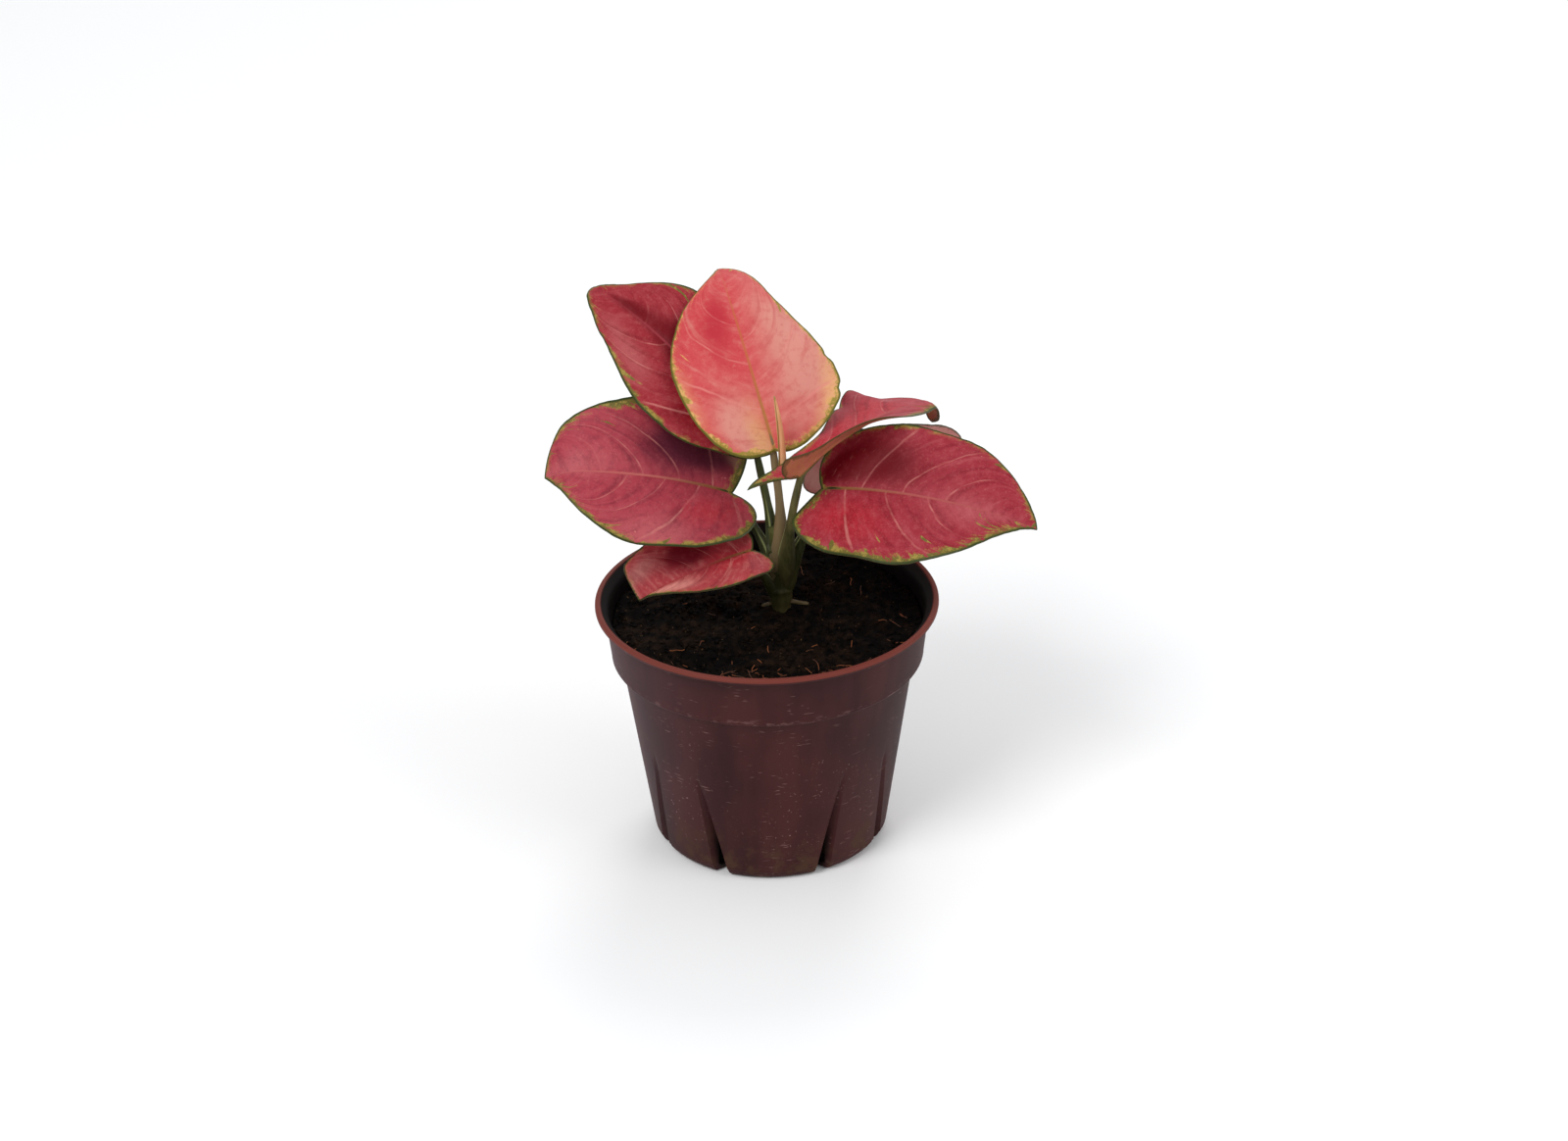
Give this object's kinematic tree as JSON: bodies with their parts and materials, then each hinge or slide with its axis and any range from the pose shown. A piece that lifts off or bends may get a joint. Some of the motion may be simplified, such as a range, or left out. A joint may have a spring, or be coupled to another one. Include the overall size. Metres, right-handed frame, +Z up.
{
  "type": "potted geely red chinese evergreen",
  "caption": "Small house plant with broad red and pink leaves on green petioles, standing in dark soil in a pleated brown nursery pot.",
  "frame": {"origin": "the pot's axis at the plane it stands on", "axes": "+Z up along the pot's axis, -Y the front from which the plant is seen, +X to the right"},
  "size_m": [0.1502, 0.1115, 0.1699],
  "materials": {
    "pot": "satin",
    "soil": "matte",
    "stem": "satin",
    "pale_leaf": "satin",
    "leaf": "satin",
    "new_leaf": "satin"
  },
  "bodies": {
    "root": {"pot": "pot", "soil": "soil", "stem": "stem", "leaf_a": "pale_leaf", "leaf_b": "leaf", "leaf_c": "leaf", "leaf_d": "leaf", "leaf_e": "leaf", "leaf_f": "leaf", "leaf_g": "leaf", "new_leaf": "new_leaf"}
  },
  "joints": []
}
